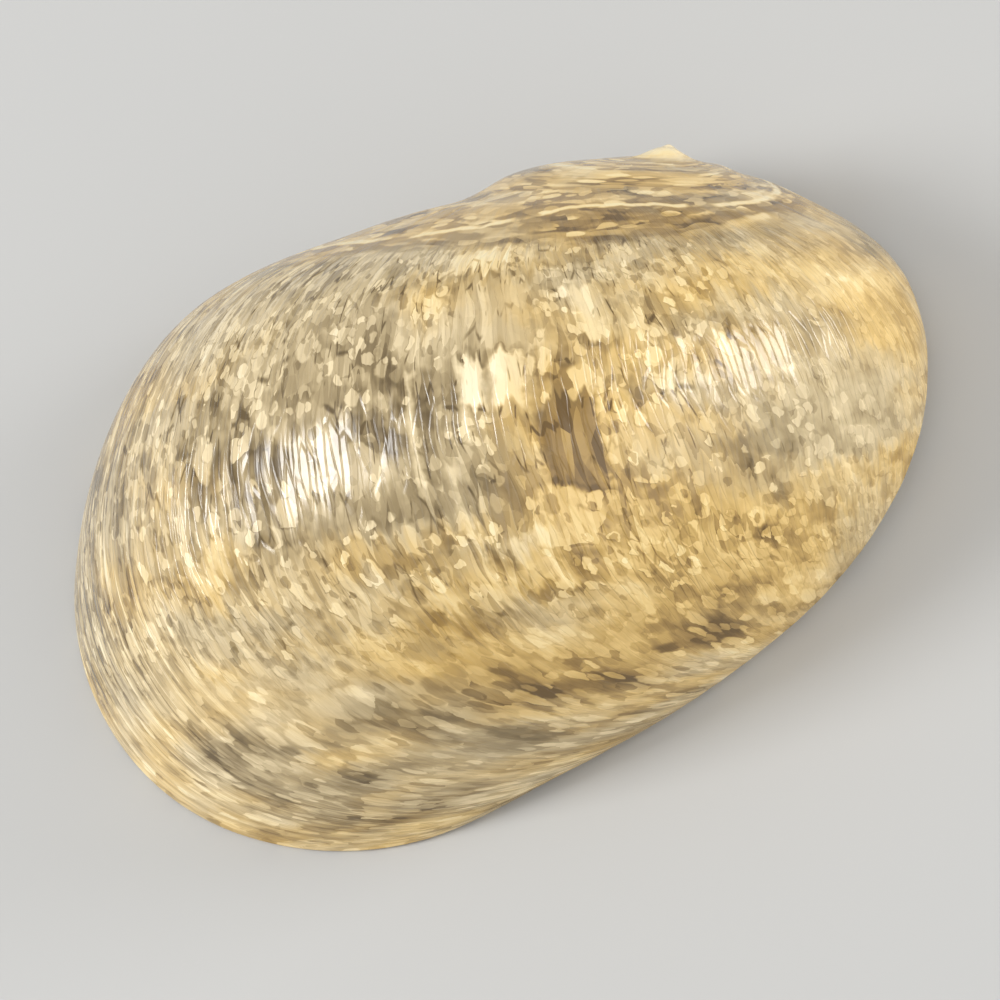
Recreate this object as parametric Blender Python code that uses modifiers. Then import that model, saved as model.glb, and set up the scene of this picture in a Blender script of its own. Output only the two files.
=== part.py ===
"""Nerite shell, polished, resting on its mouth. Blender 4.5, metres, +Z up.

The shell grew by adding to its lip: every growth line is the lip's outline, turned about the coiling
axis and shrunk towards the apex. The lip lies in the plane z = 0, the spire points to +Y, the thin edge
of the lip to -X and the back of the last whorl to +X. The origin is the middle of the base.
"""

import math

import bmesh
import bpy
from mathutils import Matrix, Vector
from mathutils.bvhtree import BVHTree

MM = 0.001

# Lip outline in the plane z = 0: radii from its centre at equal angles, from +X towards +Y
LIP_CENTRE = Vector((-3.1, 0.0, 0.0)) * MM
LIP_RADII = [radius * MM for radius in (10.6, 11.3, 11.3, 10.4, 11.2, 11.6, 12.1, 12.5, 12.3, 10.7)]

# Coiling axis through the apex: its lean from upright, and its heading from +Y towards +X
APEX = Vector((5.0, 11.0, 4.8)) * MM
AXIS_LEAN = math.radians(55.7)
AXIS_HEADING = math.radians(5.6)
BACK_STRETCH = 1.15

# Growth in one turn near the lip and in the spire, and the angle over which one passes into the other
LATE_GROWTH = 5.3
EARLY_GROWTH = 1.6
GROWTH_CHANGE_ANGLE = 3.8
SPIRE_LIFT = 0.8 * MM
SPIRE_LIFT_ANGLE = 1.8
FIRST_WHORL_START = math.radians(1180)
FIRST_WHORL_END = math.radians(1440)

# Rest marks: low steps along the growth lines, where growth paused
REST_MARK_SPACING = math.radians(11)
REST_MARK_STEP = 0.005

# Wall, septum across the right half of the mouth, and the bevelled lip
WALL = 1.7 * MM
SEPTUM = 1.4 * MM
LIP_WIDTH = 2.3 * MM
LIP_EDGE_WIDTH = 1.2 * MM
MOUTH_CUT_TOP = 2.0 * MM
CUTTER_OVERRUN = 1.0 * MM
SEPTUM_EDGE_X = 1.4 * MM
SEPTUM_EDGE_BOW = 0.9 * MM
SEPTUM_EDGE_TOP_Y = 7.4 * MM
SEPTUM_EDGE_LOW_Y = -8.6 * MM

# Teeth on the middle of the septum's edge: each one's place along Y, and its half width
TEETH = [(2.6 * MM, 0.85 * MM), (0.5 * MM, 0.75 * MM), (-1.4 * MM, 0.65 * MM), (-3.0 * MM, 0.55 * MM)]
TOOTH_HALF_LENGTH = 1.3 * MM
TOOTH_HALF_HEIGHT = 0.6 * MM
TOOTH_SETBACK = 0.5 * MM

# Callus: the smooth pad that carries the septum on into the base, and the base's rise beyond its edge
CALLUS_CENTRE = Vector((1.8, -0.4, 0.0)) * MM
CALLUS_ACROSS = 8.8 * MM
CALLUS_ALONG = 12.8 * MM
CALLUS_SWEEP = math.radians(76)
BASE_WIDTH = 1.6
BASE_RISE = 0.7 * MM
RISE_FADE_POWER = 4

# Rounding where the sides meet the base: slight at the lip, fuller under the back of the last whorl
BASE_ROUNDING = 0.9 * MM
LIP_ROUNDING_SHARE = 0.3
ROUNDING_CHANGE_X = 6.0 * MM

# Fineness of the curved surfaces
BALL_RADIUS = 30 * MM
SHELL_COLUMNS, SHELL_ROWS = 92, 60
CHAMBER_COLUMNS, CHAMBER_ROWS = 48, 32
RING_STEP = math.radians(3)
POINTS_PER_RING = 96
MOUTH_POINTS = 64
CALLUS_SECTIONS = 25


def coiling_axis():
    """Unit vector along the coiling axis, towards the apex."""
    flat = math.sin(AXIS_LEAN)
    return Vector((flat * math.sin(AXIS_HEADING), flat * math.cos(AXIS_HEADING), math.cos(AXIS_LEAN)))


def lip_point(angle, inset=0.0):
    """Point of the lip's outline, a closed smooth curve through the radii, moved in by the inset."""
    place = (angle % math.tau) / math.tau * len(LIP_RADII)
    index = int(place)
    part = place - index
    before, here, after, beyond = (LIP_RADII[(index + step) % len(LIP_RADII)] for step in (-1, 0, 1, 2))
    bend = 2 * before - 5 * here + 4 * after - beyond
    twist = 3 * here - before - 3 * after + beyond
    radius = here + 0.5 * part * (after - before + part * (bend + part * twist)) - inset
    return LIP_CENTRE + Vector((radius * math.cos(angle), radius * math.sin(angle), 0.0))


def growth_size(turned):
    """Size of the growth line that lies this angle back from the lip, where the lip itself is 1."""
    late = math.log(LATE_GROWTH) / math.tau
    early = math.log(EARLY_GROWTH) / math.tau
    settled = GROWTH_CHANGE_ANGLE * (1 - math.exp(-turned / GROWTH_CHANGE_ANGLE))
    size = math.exp(-early * turned - (late - early) * settled)
    if turned > FIRST_WHORL_START:
        closing = (turned - FIRST_WHORL_START) / (FIRST_WHORL_END - FIRST_WHORL_START)
        size *= math.sqrt(max(0.0, 1 - closing**2))
    return size


def growth_line(turned):
    """Points of the growth line that lies this angle back from the lip."""
    axis = coiling_axis()
    size = growth_size(turned)
    turn = Matrix.Rotation(turned, 3, axis)
    lift = axis * SPIRE_LIFT * (1 - math.exp(-((turned / SPIRE_LIFT_ANGLE) ** 2)))
    mark = 1 - REST_MARK_STEP * ((turned / REST_MARK_SPACING) % 1)
    points = []
    for step in range(POINTS_PER_RING):
        arm = LIP_CENTRE + (lip_point(math.tau * step / POINTS_PER_RING) - LIP_CENTRE) * mark - APEX
        point = APEX + (turn @ arm + lift) * size
        points.append(Vector((point.x, point.y, point.z * BACK_STRETCH)))
    return points


def new_object(name, mesh, collection):
    obj = bpy.data.objects.new(name, mesh)
    collection.objects.link(obj)
    return obj


def mesh_of(name, bm):
    mesh = bpy.data.meshes.new(name)
    bmesh.ops.recalc_face_normals(bm, faces=bm.faces)
    bm.to_mesh(mesh)
    bm.free()
    return mesh


def loft(bm, sections):
    """Joins closed sections of equal point count with quads, and returns their vertices."""
    rings = [[bm.verts.new(point) for point in section] for section in sections]
    for ring, following in zip(rings, rings[1:]):
        for index in range(len(ring)):
            after = (index + 1) % len(ring)
            bm.faces.new((ring[index], ring[after], following[after], following[index]))
    return rings


def growth_sheet():
    """Search tree of the whorls' surface, from just below the base plane back to the first whorl."""
    bm = bmesh.new()
    start = -math.radians(30)
    count = round((FIRST_WHORL_END - start) / RING_STEP)
    turns = [start + (FIRST_WHORL_END - start) * step / count for step in range(count)]
    rings = loft(bm, [growth_line(turned) for turned in turns])
    bm.faces.new(rings[-1])
    tree = BVHTree.FromBMesh(bm)
    bm.free()
    return tree


def wrapped_ball(name, sheet, columns, rows, floor, depth):
    """Closed body on a flat floor: half a ball, its pole towards the apex, each point drawn in towards the
    middle of the floor until it meets the outermost whorl, or lies this depth under it."""
    bm = bmesh.new()
    rounding = bm.edges.layers.float.new("bevel_weight_edge")
    bmesh.ops.create_uvsphere(bm, u_segments=columns, v_segments=rows, radius=BALL_RADIUS)
    towards_apex = Vector((APEX.x, APEX.y, APEX.z * BACK_STRETCH))
    turn = towards_apex.to_track_quat("Z", "Y").to_matrix()
    bmesh.ops.rotate(bm, verts=bm.verts, cent=(0, 0, 0), matrix=turn)
    everything = bm.verts[:] + bm.edges[:] + bm.faces[:]
    cut = bmesh.ops.bisect_plane(bm, geom=everything, plane_no=(0, 0, 1), clear_inner=True, dist=MM * 0.01)
    rim = [item for item in cut["geom_cut"] if isinstance(item, bmesh.types.BMEdge)]
    middle = Vector((0.0, 0.0, floor))
    for vert in bm.verts:
        outward = vert.co.normalized()
        hit = sheet.ray_cast(middle + outward * BALL_RADIUS, -outward)[0]
        vert.co = hit - outward * depth
    bmesh.ops.holes_fill(bm, edges=rim)
    for edge in rim:
        across = sum(vert.co.x for vert in edge.verts) / 2 / ROUNDING_CHANGE_X
        edge[rounding] = LIP_ROUNDING_SHARE + (1 - LIP_ROUNDING_SHARE) * min(max(across, 0.0), 1.0)
    return mesh_of(name, bm)


def boolean(obj, operation, other):
    modifier = obj.modifiers.new(other.name, "BOOLEAN")
    modifier.operation = operation
    modifier.object = other


def septum_edge(y):
    """Place along X of the septum's bowed edge, which faces the mouth."""
    along = (y - SEPTUM_EDGE_LOW_Y) / (SEPTUM_EDGE_TOP_Y - SEPTUM_EDGE_LOW_Y)
    return SEPTUM_EDGE_X - SEPTUM_EDGE_BOW * (1 - (2 * along - 1) ** 2)


def mouth_outline(inset):
    """Outline of the mouth: the lip's own curve on the left, the bowed edge of the septum on the right."""
    points = []
    for step in range(MOUTH_POINTS):
        point = lip_point(math.tau * step / MOUTH_POINTS, inset)
        points.append(Vector((min(point.x, septum_edge(point.y)), point.y, 0.0)))
    return points


def mouth_cutter(guides):
    """The opening between lip and septum, wider at the base plane, where the lip is bevelled."""
    bm = bmesh.new()
    levels = [
        (LIP_EDGE_WIDTH, -CUTTER_OVERRUN),
        (LIP_EDGE_WIDTH, 0.0),
        (LIP_WIDTH, SEPTUM),
        (LIP_WIDTH, MOUTH_CUT_TOP),
    ]
    sections = []
    for inset, height in levels:
        sections.append([point + Vector((0, 0, height)) for point in mouth_outline(inset)])
    rings = loft(bm, sections)
    bm.faces.new(rings[0])
    bm.faces.new(rings[-1])
    return new_object("mouth_cutter", mesh_of("mouth_cutter", bm), guides)


def septum_teeth(guides):
    """Blunt teeth that stand out from the septum's edge into the mouth."""
    bm = bmesh.new()
    for place, half_width in TEETH:
        size = Matrix.Diagonal((TOOTH_HALF_LENGTH, half_width, TOOTH_HALF_HEIGHT, 1.0))
        centre = Matrix.Translation((septum_edge(place) + TOOTH_SETBACK, place, SEPTUM / 2))
        bmesh.ops.create_uvsphere(bm, u_segments=12, v_segments=8, radius=1.0, matrix=centre @ size)
    return new_object("septum_teeth", mesh_of("septum_teeth", bm), guides)


def base_cutter(guides):
    """Wedge that lifts the base off the floor beyond the callus, more towards the outside."""
    bm = bmesh.new()
    sections = []
    for step in range(CALLUS_SECTIONS):
        place = 2 * step / (CALLUS_SECTIONS - 1) - 1
        angle = CALLUS_SWEEP * place
        edge = Vector((CALLUS_ACROSS * math.cos(angle), CALLUS_ALONG * math.sin(angle), 0.0))
        rise = BASE_RISE * (1 - place**RISE_FADE_POWER)
        corners = [(1.0, 0.0), (BASE_WIDTH, rise), (BASE_WIDTH, -CUTTER_OVERRUN), (1.0, -CUTTER_OVERRUN)]
        sections.append([CALLUS_CENTRE + edge * width + Vector((0, 0, z)) for width, z in corners])
    rings = loft(bm, sections)
    bm.faces.new(rings[0])
    bm.faces.new(rings[-1])
    return new_object("base_cutter", mesh_of("base_cutter", bm), guides)


def shell_material():
    material = bpy.data.materials.new("polished_shell")
    material.use_nodes = True
    surface = material.node_tree.nodes["Principled BSDF"]
    surface.inputs["Base Color"].default_value = (0.62, 0.46, 0.24, 1.0)
    surface.inputs["Roughness"].default_value = 0.25
    surface.inputs["Metallic"].default_value = 0.0
    return material


def build():
    for obj in list(bpy.data.objects):
        bpy.data.objects.remove(obj, do_unlink=True)
    shell_parts = bpy.data.collections.new("nerite_shell")
    guides = bpy.data.collections.new("guides_and_cutters")
    bpy.context.scene.collection.children.link(shell_parts)
    bpy.context.scene.collection.children.link(guides)

    sheet = growth_sheet()
    hollow = wrapped_ball("chamber_cutter", sheet, CHAMBER_COLUMNS, CHAMBER_ROWS, SEPTUM, WALL)
    chamber = new_object("chamber_cutter", hollow, guides)
    mouth = mouth_cutter(guides)
    teeth = septum_teeth(guides)
    base = base_cutter(guides)

    outside = wrapped_ball("shell", sheet, SHELL_COLUMNS, SHELL_ROWS, 0.0, 0.0)
    shell = new_object("shell", outside, shell_parts)
    rounding = shell.modifiers.new("Rounded base edge", "BEVEL")
    rounding.limit_method = "WEIGHT"
    rounding.width = BASE_ROUNDING
    rounding.segments = 2
    boolean(shell, "DIFFERENCE", base)
    boolean(shell, "DIFFERENCE", chamber)
    boolean(shell, "DIFFERENCE", mouth)
    boolean(shell, "UNION", teeth)
    shell.data.materials.append(shell_material())
    shell.data.shade_smooth()

    for guide in guides.objects:
        guide.hide_render = True
        guide.display_type = "WIRE"


build()
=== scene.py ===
import math

import bpy
import numpy as np
from mathutils import Matrix, Vector
from mathutils.kdtree import KDTree


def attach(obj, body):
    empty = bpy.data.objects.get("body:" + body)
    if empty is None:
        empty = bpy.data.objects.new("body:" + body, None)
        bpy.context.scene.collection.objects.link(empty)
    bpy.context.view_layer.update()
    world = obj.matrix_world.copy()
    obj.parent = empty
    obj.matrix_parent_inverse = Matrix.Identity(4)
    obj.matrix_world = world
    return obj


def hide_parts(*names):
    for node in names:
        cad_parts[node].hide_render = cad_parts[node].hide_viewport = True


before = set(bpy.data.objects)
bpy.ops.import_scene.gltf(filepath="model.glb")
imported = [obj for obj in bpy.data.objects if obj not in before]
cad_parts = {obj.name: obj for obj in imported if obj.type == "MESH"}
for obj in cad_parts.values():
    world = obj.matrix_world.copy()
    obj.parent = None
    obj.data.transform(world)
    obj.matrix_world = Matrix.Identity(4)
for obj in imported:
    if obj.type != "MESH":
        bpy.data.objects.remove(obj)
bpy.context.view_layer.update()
MM = 0.001

# The shell: one piece of aragonite that the snail grew by adding to its lip, whorl after whorl.
# Every growth line is the lip's outline, turned about the coiling axis and shrunk towards the apex.
# It was then polished, so the mottled outer layer is glossy but keeps its growth ridges.

# Outline of the lip in the plane z = 0: radii at equal angles from +X, joined by a smooth curve
LIP_CENTRE = Vector((-3.1, 0.0, 0.0)) * MM
LIP_RADII = [radius * MM for radius in (10.6, 11.3, 11.3, 10.4, 11.2, 11.6, 12.1, 12.5, 12.3, 10.7)]
LIP_STEPS = 240

# Coiling axis: it runs through the apex, which lies at the back, and leans away from upright
APEX = Vector((5.0, 11.0, 4.8)) * MM
AXIS_LEAN = math.radians(55.7)
AXIS_HEADING = math.radians(5.6)
COILING_AXIS = Vector((
    math.sin(AXIS_LEAN) * math.sin(AXIS_HEADING),
    math.sin(AXIS_LEAN) * math.cos(AXIS_HEADING),
    math.cos(AXIS_LEAN),
))
BACK_STRETCH = 1.15

# Thickness of the septum, the shelf across the mouth, and of the wall
SEPTUM = 1.4 * MM
WALL = 1.7 * MM


def lip_point(angle, inset=0.0):
    """Point of the lip's outline in the plane z = 0, moved in towards the lip's centre by the inset."""
    place = (angle % math.tau) / math.tau * len(LIP_RADII)
    index = int(place)
    part = place - index
    before, here, after, beyond = (LIP_RADII[(index + step) % len(LIP_RADII)] for step in (-1, 0, 1, 2))
    bend = 2 * before - 5 * here + 4 * after - beyond
    twist = 3 * here - before - 3 * after + beyond
    radius = here + 0.5 * part * (after - before + part * (bend + part * twist)) - inset
    return LIP_CENTRE + Vector((radius * math.cos(angle), radius * math.sin(angle), 0.0))


class Wire:
    """A socket in a node tree. Operators on it add Math nodes, and node() adds any other node."""

    def __init__(self, tree, socket=None):
        self.tree = tree
        self.socket = socket

    def node(self, kind, settings=None, sockets=None, output=0):
        made = self.tree.nodes.new(kind)
        for name, value in (settings or {}).items():
            if name == "stops":
                set_stops(made, value)
            else:
                setattr(made, name, value)
        for name, value in (sockets or {}).items():
            if isinstance(value, Wire):
                self.tree.links.new(value.socket, made.inputs[name])
            else:
                made.inputs[name].default_value = value
        return Wire(self.tree, made.outputs[output])

    def out(self, name):
        return Wire(self.tree, self.socket.node.outputs[name])

    def math(self, operation, *values):
        return self.node("ShaderNodeMath", {"operation": operation}, dict(enumerate(values)))

    def __add__(self, other):
        return self.math("ADD", self, other)

    __radd__ = __add__

    def __sub__(self, other):
        return self.math("SUBTRACT", self, other)

    def __rsub__(self, other):
        return self.math("SUBTRACT", other, self)

    def __mul__(self, other):
        return self.math("MULTIPLY", self, other)

    __rmul__ = __mul__

    def __truediv__(self, other):
        return self.math("DIVIDE", self, other)

    def __pow__(self, other):
        return self.math("POWER", self, other)

    def vector(self, operation, second, scale=None):
        values = {0: self} if second is None else {0: self, 1: second}
        if scale is not None:
            values["Scale"] = scale
        return self.node("ShaderNodeVectorMath", {"operation": operation}, values)

    def fade(self, start, end, low=0.0, high=1.0):
        """Goes smoothly from low to high as this value goes from start to end."""
        return self.node(
            "ShaderNodeMapRange",
            {"interpolation_type": "SMOOTHSTEP"},
            {"Value": self, "From Min": start, "From Max": end, "To Min": low, "To Max": high},
        )


def set_stops(ramp_node, stops):
    ramp = ramp_node.color_ramp
    for index, (place, value) in enumerate(stops):
        stop = ramp.elements[index] if index < 2 else ramp.elements.new(place)
        stop.position = place
        stop.color = value


def xyz(wire, x, y, z):
    return wire.node("ShaderNodeCombineXYZ", None, {"X": x, "Y": y, "Z": z})


# The growth surface as a node tree, which wraps a dome of rays round the coiled sheet
growth = bpy.data.node_groups.new("growth_surface", "GeometryNodeTree")
GROWTH_INPUTS = [
    ("Lip Outline", "NodeSocketObject", None),
    ("Apex", "NodeSocketVector", tuple(APEX)),
    ("Coiling Axis", "NodeSocketVector", tuple(COILING_AXIS)),
    ("Back Stretch", "NodeSocketFloat", BACK_STRETCH),
    ("Late Growth", "NodeSocketFloat", 5.3),
    ("Early Growth", "NodeSocketFloat", 1.6),
    ("Growth Change Angle", "NodeSocketFloat", 3.8),
    ("Spire Lift", "NodeSocketFloat", 0.8 * MM),
    ("Spire Lift Angle", "NodeSocketFloat", 1.8),
    ("Start Angle", "NodeSocketFloat", -math.radians(30)),
    ("First Whorl Start", "NodeSocketFloat", math.radians(1180)),
    ("First Whorl End", "NodeSocketFloat", math.radians(1440)),
    ("Growth Lines", "NodeSocketInt", 1100),
    ("Lip Points", "NodeSocketInt", 260),
    ("Line Slant", "NodeSocketFloat", 1.6 * MM),
    ("Line Slant Width", "NodeSocketFloat", 8.0 * MM),
    ("Slant Start", "NodeSocketFloat", 8.8 * MM),
    ("Slant End", "NodeSocketFloat", 14.0 * MM),
    ("Columns", "NodeSocketInt", 560),
    ("Rows", "NodeSocketInt", 90),
    ("Pole", "NodeSocketVector", (0.0, 0.0, 1.0)),
    ("Middle", "NodeSocketVector", (0.0, 0.0, 0.0)),
    ("Depth", "NodeSocketFloat", 0.0),
    ("Rim Lift", "NodeSocketFloat", 0.0),
    ("Rim Lift Heading", "NodeSocketFloat", math.radians(12)),
    ("Rim Lift Spread", "NodeSocketFloat", math.radians(38)),
    ("Ridge Height", "NodeSocketFloat", 0.0),
    ("Ridge Spacing", "NodeSocketFloat", 1.1 * MM),
    ("Ridge Length", "NodeSocketFloat", 16.0 * MM),
    ("Seed", "NodeSocketFloat", 7.0),
    ("Material", "NodeSocketMaterial", None),
]
growth_sockets = {}
for name, kind, value in GROWTH_INPUTS:
    socket = growth.interface.new_socket(name=name, in_out="INPUT", socket_type=kind)
    growth_sockets[name] = socket.identifier
    if value is not None:
        socket.default_value = value
growth.interface.new_socket(name="Geometry", in_out="OUTPUT", socket_type="NodeSocketGeometry")

start = Wire(growth, growth.nodes.new("NodeGroupInput").outputs[0])
given = {name: start.out(name) for name, kind, value in GROWTH_INPUTS}

# Coiled sheet: rows of the grid are growth lines, and its columns are points of the lip
sheet = start.node(
    "GeometryNodeMeshGrid",
    None,
    {"Size X": 1.0, "Size Y": 1.0, "Vertices X": given["Growth Lines"], "Vertices Y": given["Lip Points"]},
)
place = start.node("GeometryNodeInputPosition")
corner = start.node("ShaderNodeSeparateXYZ", None, {"Vector": place})
angle_span = given["First Whorl End"] - given["Start Angle"]
turned = given["Start Angle"] + angle_span * (corner.out("X") + 0.5)
around = corner.out("Y") + 0.5
lip_line = start.node("GeometryNodeObjectInfo", None, {"Object": given["Lip Outline"]}, "Geometry")
on_lip = start.node(
    "GeometryNodeSampleCurve", {"mode": "FACTOR"}, {"Curves": lip_line, "Factor": around}, "Position"
)
arm = start.node(
    "ShaderNodeVectorRotate",
    {"rotation_type": "AXIS_ANGLE"},
    {
        "Vector": on_lip.vector("SUBTRACT", given["Apex"]),
        "Axis": given["Coiling Axis"],
        "Angle": turned,
    },
)
late = start.math("LOGARITHM", given["Late Growth"], math.e) / math.tau
early = start.math("LOGARITHM", given["Early Growth"], math.e) / math.tau
change = given["Growth Change Angle"]
settled = change * (1 - start.math("EXPONENT", 0 - turned / change))
closing = (turned - given["First Whorl Start"]) / (given["First Whorl End"] - given["First Whorl Start"])
closed = start.math("SQRT", start.math("MAXIMUM", 1 - start.math("MAXIMUM", closing, 0.0) ** 2.0, 0.0))
size = start.math("EXPONENT", 0 - (early * turned + (late - early) * settled)) * closed
lift = given["Spire Lift"] * (1 - start.math("EXPONENT", 0 - (turned / given["Spire Lift Angle"]) ** 2.0))
lifted = arm.vector("ADD", given["Coiling Axis"].vector("SCALE", None, lift))
coiled = given["Apex"].vector("ADD", lifted.vector("SCALE", None, size))
coiled = coiled.vector("MULTIPLY", xyz(start, 1.0, 1.0, given["Back Stretch"]))

# Growth coordinates: the distance back from the lip along the whorl's middle, and the place along the lip.
# The growth lines of the older shell slant a little against the lip's own plane.
MIDDLE_REACH = 15.0 * MM
LIP_LENGTH = 72.0 * MM
grown = start.node(
    "GeometryNodeAccumulateField",
    {"data_type": "FLOAT"},
    {
        "Value": size * angle_span * MIDDLE_REACH / given["Growth Lines"],
        "Group ID": start.math("ROUND", around * (given["Lip Points"] - 1)),
    },
)
width = (around - 0.5) * LIP_LENGTH * size ** 0.5
slant = given["Line Slant"] * start.math("TANH", width / given["Line Slant Width"])
slanted = grown + slant * grown.fade(given["Slant Start"], given["Slant End"])
coil = start.node(
    "GeometryNodeStoreNamedAttribute",
    {"data_type": "FLOAT_VECTOR"},
    {"Geometry": sheet, "Name": "coil", "Value": xyz(start, slanted, width, turned)},
)
coil = start.node("GeometryNodeSetPosition", None, {"Geometry": coil, "Position": coiled})

# Dome of rays from its pole down to the rim, which meets the outermost whorl
RIM_REACH = 14.0 * MM
RAY_START = 30 * MM
cone = start.node(
    "GeometryNodeMeshCone",
    {"fill_type": "NONE"},
    {
        "Vertices": given["Columns"],
        "Side Segments": given["Rows"],
        "Radius Top": 0.0,
        "Radius Bottom": 1.0,
        "Depth": 1.0,
    },
    "Mesh",
)
from_pole = 1 - corner.out("Z")
heading = start.math("ARCTAN2", corner.out("Y"), corner.out("X"))
from_lift = start.math("WRAP", heading - given["Rim Lift Heading"], math.pi, -math.pi)
bump = start.math("EXPONENT", 0 - (from_lift / given["Rim Lift Spread"]) ** 2.0)
rim = xyz(
    start,
    start.math("COSINE", heading),
    start.math("SINE", heading),
    given["Rim Lift"] * bump / RIM_REACH,
).vector("NORMALIZE", None)
pole = given["Pole"].vector("NORMALIZE", None)
between = start.math("ARCCOSINE", pole.vector("DOT_PRODUCT", rim).out("Value"))
outward = pole.vector("SCALE", None, start.math("SINE", (1 - from_pole) * between)).vector(
    "ADD", rim.vector("SCALE", None, start.math("SINE", from_pole * between))
).vector("NORMALIZE", None)
source = given["Middle"].vector("ADD", outward.vector("SCALE", None, RAY_START))
coil_here = start.node(
    "GeometryNodeInputNamedAttribute", {"data_type": "FLOAT_VECTOR"}, {"Name": "coil"}, "Attribute"
)
ray = start.node(
    "GeometryNodeRaycast",
    {"data_type": "FLOAT_VECTOR", "mapping": "INTERPOLATED"},
    {
        "Target Geometry": coil,
        "Attribute": coil_here,
        "Source Position": source,
        "Ray Direction": outward.vector("SCALE", None, -1.0),
        "Ray Length": RAY_START,
    },
)
met = ray.out("Hit Position")
found = ray.out("Attribute")
ray_dome = start.node(
    "GeometryNodeStoreNamedAttribute",
    {"data_type": "FLOAT_VECTOR"},
    {"Geometry": cone, "Name": "coil", "Value": found},
)

# Ridges where growth slowed, which follow the growth lines
split = start.node("ShaderNodeSeparateXYZ", None, {"Vector": coil_here})
ridge_a = split.out("X") / given["Ridge Spacing"]
ridge_b = split.out("Y") / given["Ridge Length"]
ridges = start.node(
    "ShaderNodeTexNoise",
    {"noise_dimensions": "3D"},
    {"Vector": xyz(start, ridge_a, ridge_b, given["Seed"]), "Scale": 1.0, "Detail": 1.0, "Roughness": 0.5},
)
wavy = (ridges - 0.5) * given["Ridge Height"]
reach = start.node(
    "GeometryNodeSetPosition",
    None,
    {
        "Geometry": ray_dome,
        "Position": met.vector("ADD", outward.vector("SCALE", None, wavy - given["Depth"])),
    },
)
realized = start.node("GeometryNodeRealizeInstances", None, {"Geometry": reach})
finished = start.node(
    "GeometryNodeSetMaterial", None, {"Geometry": realized, "Material": given["Material"]}
)
group_end = growth.nodes.new("NodeGroupOutput")
growth.links.new(finished.socket, group_end.inputs["Geometry"])

lip_curve = bpy.data.curves.new("lip_outline", "CURVE")
lip_curve.dimensions = "3D"
lip_spline = lip_curve.splines.new("POLY")
lip_spline.points.add(LIP_STEPS - 1)
for index, point in enumerate(lip_spline.points):
    point.co = (*lip_point(math.tau * index / LIP_STEPS), 1.0)
lip_spline.use_cyclic_u = True
lip_outline = bpy.data.objects.new("lip_outline", lip_curve)
bpy.context.scene.collection.objects.link(lip_outline)


def grown_dome(name, values):
    """Mesh of the growth tree with these inputs."""
    carrier = bpy.data.objects.new(name, bpy.data.meshes.new(name))
    bpy.context.scene.collection.objects.link(carrier)
    modifier = carrier.modifiers.new("Growth", "NODES")
    modifier.node_group = growth
    for key, value in values.items():
        modifier[growth_sockets[key]] = value
    bpy.context.view_layer.update()
    graph = bpy.context.evaluated_depsgraph_get()
    mesh = bpy.data.meshes.new_from_object(carrier.evaluated_get(graph), depsgraph=graph)
    carrier.modifiers.remove(modifier)
    bpy.data.objects.remove(carrier)
    return mesh


# Outside and chamber: two domes of the same tree. The chamber's lies a wall's thickness further in.
ROWS = 124
COLUMNS = 450
CHAMBER_ROWS = 20
RIM_LIFT = 0.54 * MM
RIDGE_HEIGHT = 0.08 * MM
outside = grown_dome("outside", {
    "Lip Outline": lip_outline,
    "Columns": COLUMNS,
    "Rows": ROWS,
    "Pole": (APEX.x, APEX.y, APEX.z * BACK_STRETCH),
    "Rim Lift": RIM_LIFT,
    "Ridge Height": RIDGE_HEIGHT,
})
chamber = grown_dome("chamber", {
    "Lip Outline": lip_outline,
    "Columns": COLUMNS,
    "Rows": CHAMBER_ROWS,
    "Middle": (0.0, 0.0, SEPTUM),
    "Depth": WALL,
})
bpy.data.objects.remove(lip_outline)


def rings_of(mesh, rows):
    """Tip, rings of points from the tip down to the rim, and the coil coordinates of both."""
    points = np.zeros(len(mesh.vertices) * 3)
    mesh.vertices.foreach_get("co", points)
    coils = np.zeros(len(mesh.vertices) * 3)
    mesh.attributes["coil"].data.foreach_get("vector", coils)
    points, coils = points.reshape(-1, 3), coils.reshape(-1, 3)
    shape = (rows, COLUMNS, 3)
    return points[0], points[1:].reshape(shape), coils[0], coils[1:].reshape(shape)


tip, dome, _, dome_coil = rings_of(outside, ROWS)
roof_tip, roof, _, _ = rings_of(chamber, CHAMBER_ROWS)


def level(rings, pole, share):
    """Moves all rings but the last by this share towards the mean of their neighbours."""
    above = np.concatenate([np.broadcast_to(pole, (1, COLUMNS, 3)), rings[:-2]])
    beside = 0.5 * (np.roll(rings, 1, axis=1) + np.roll(rings, -1, axis=1))[:-1]
    rings[:-1] += share * (0.25 * (above + rings[1:]) + 0.5 * beside - rings[:-1])


# The spire is a little fuller than the plain growth surface, and its tip lies lower and further to the right.
# The trim keeps the smooth surface inside the faceted solid's box.
APEX_POINT = np.array([APEX.x, APEX.y, APEX.z * BACK_STRETCH])
SPIRE_OUTWARD = APEX_POINT / np.linalg.norm(APEX_POINT)
SPIRE_SWELL = 0.30 * MM
SPIRE_SWELL_SPREAD = 5.5 * MM
TIP_SHIFT = np.array([0.58, -0.46, -0.51]) * MM
TIP_SHIFT_SPREAD = 2.8 * MM
TRIM = 0.05 * MM
for part_of_dome in (dome, tip[None]):
    from_apex = np.linalg.norm(part_of_dome - APEX_POINT, axis=-1)[..., None]
    part_of_dome += np.exp(-(from_apex / SPIRE_SWELL_SPREAD) ** 2) * SPIRE_SWELL * SPIRE_OUTWARD
    part_of_dome += np.exp(-(from_apex / TIP_SHIFT_SPREAD) ** 2) * TIP_SHIFT
    part_of_dome *= 1 - TRIM / np.linalg.norm(part_of_dome, axis=-1)[..., None]

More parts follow.
